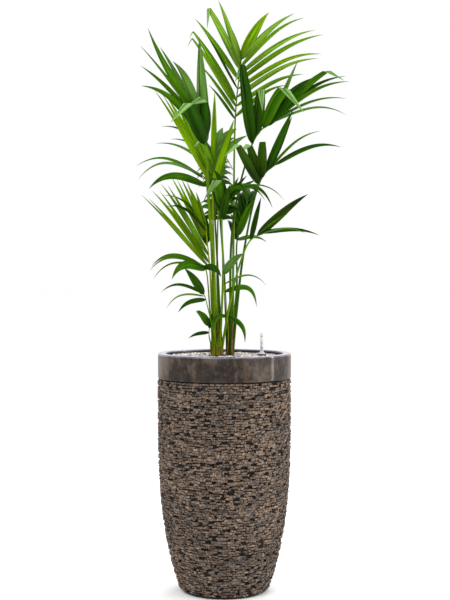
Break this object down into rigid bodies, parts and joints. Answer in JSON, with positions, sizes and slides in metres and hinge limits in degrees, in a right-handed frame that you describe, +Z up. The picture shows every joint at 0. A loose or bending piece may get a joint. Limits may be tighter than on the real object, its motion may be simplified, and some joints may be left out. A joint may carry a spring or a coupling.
{
  "type": "potted palm",
  "caption": "Potted kentia palm: clumps of slender stalks with feathered fronds in a tall tapered planter clad in split stone, topped with gravel, with a water gauge.",
  "frame": {"origin": "middle of the planter's flat underside, on the floor", "axes": "+Z up, +X to the plant's right as the picture sees it, -Y towards the front"},
  "size_m": [0.6219, 0.6309, 1.7856],
  "materials": {
    "stone_cladding": "split, rough",
    "rim_band": "smooth, mottled, satin",
    "potting_soil": "crumbly",
    "gravel": "rounded pebbles, matt",
    "gauge_base": "matt",
    "gauge_tube": "clear, glossy",
    "cane": "fibrous sheaths",
    "leaf": "satin leaf"
  },
  "bodies": {
    "root": {"planter_body": "stone_cladding", "planter_rim": "rim_band", "potting_soil": "potting_soil", "gravel_topping": "gravel", "water_gauge_base": "gauge_base", "water_gauge_tube": "gauge_tube", "stem_left": "cane", "stem_right": "cane", "frond_centre_tall": "leaf", "frond_upper_left": "leaf", "frond_left_bright": "leaf", "frond_left_arching": "leaf", "frond_back_left": "leaf", "frond_lower_left": "leaf", "frond_right_upper": "leaf", "frond_right_middle": "leaf", "frond_right_low": "leaf", "frond_centre_right": "leaf", "frond_back_right": "leaf", "frond_low_left": "leaf", "frond_low_left_small": "leaf", "shoot_left": "leaf", "shoot_right": "leaf", "frond_back_tall": "leaf", "frond_back_low": "leaf"}
  },
  "joints": []
}
